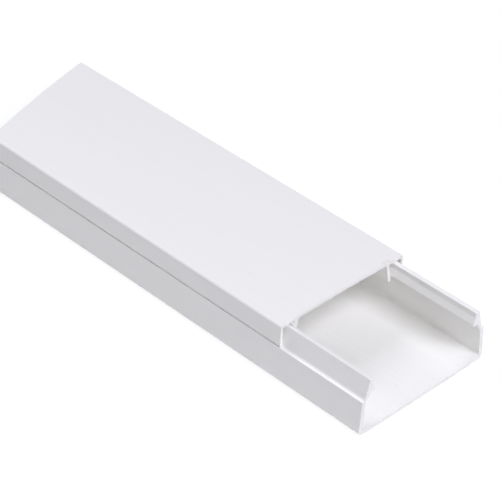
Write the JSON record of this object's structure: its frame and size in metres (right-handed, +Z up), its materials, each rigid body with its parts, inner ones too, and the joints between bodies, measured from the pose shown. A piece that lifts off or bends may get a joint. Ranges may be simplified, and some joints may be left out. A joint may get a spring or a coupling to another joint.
{
  "type": "cable trunking",
  "caption": "Short length of mini cable trunking: a U-shaped channel with barbed snap arms and a clip-on lid that stands back from one end, for running cables along a wall.",
  "frame": {"origin": "middle of the channel's underside, at the middle of its longer side", "axes": "+Y along the channel away from its square end, +X across it, +Z up from the wall face to the lid"},
  "size_m": [0.0398, 0.136, 0.016],
  "materials": {
    "white_pvc": "satin white, as extruded, with fine lines along its length"
  },
  "bodies": {
    "channel": {"base_channel": "white_pvc"},
    "lid": {"snap_lid": "white_pvc"}
  },
  "joints": [
    {"name": "lid_slide", "type": "slide", "parent": "channel", "child": "lid", "axis": [0, 1, 0], "range_m": [-0.0246, 0.1116]}
  ]
}
